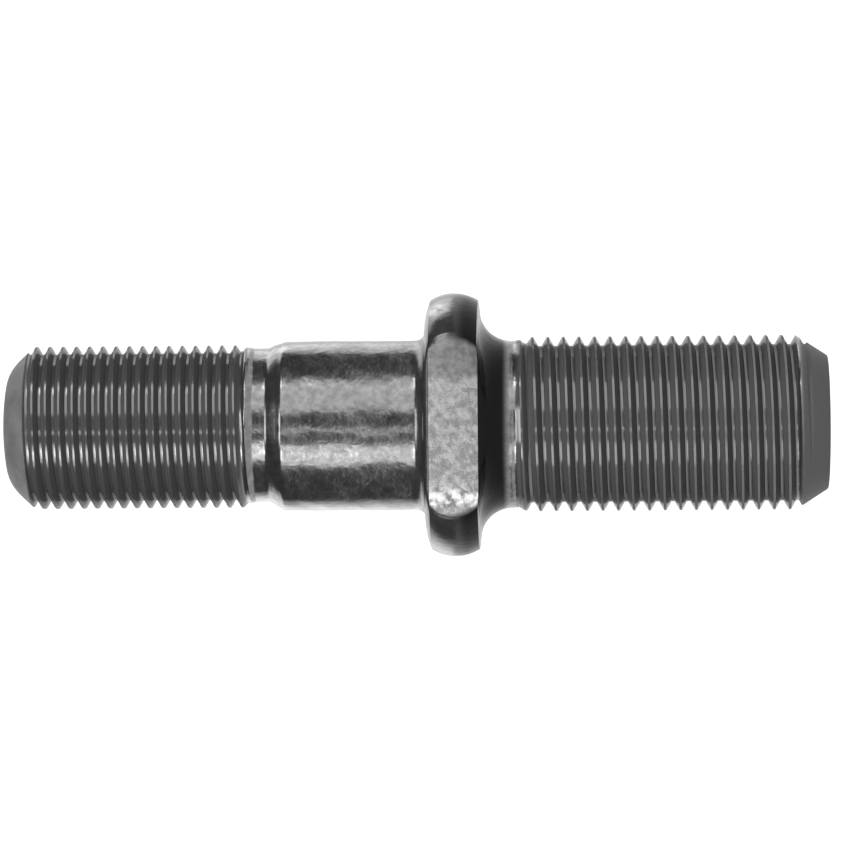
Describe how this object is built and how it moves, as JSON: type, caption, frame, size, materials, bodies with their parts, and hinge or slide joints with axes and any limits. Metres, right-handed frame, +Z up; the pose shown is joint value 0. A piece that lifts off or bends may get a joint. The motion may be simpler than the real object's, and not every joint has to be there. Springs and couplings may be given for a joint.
{
  "type": "double ended stud",
  "caption": "Double ended stud with a crowned collar that is clipped flat on one side, a fine thread on each end, one larger than the other, and a plain shank.",
  "frame": {"origin": "centre of the flat end face of the larger thread, on which the stud stands", "axes": "+Z up along the stud's axis towards its smaller thread; -Y out of the collar's clipped flat, which faces the front; +X to the right"},
  "size_m": [0.036, 0.0311, 0.1124],
  "materials": {
    "phosphated_steel": "dark grey phosphate and oil over forged and rolled steel, semi-matt; the clipped flat is a brighter sheared face"
  },
  "bodies": {
    "root": {"stud": "phosphated_steel"}
  },
  "joints": []
}
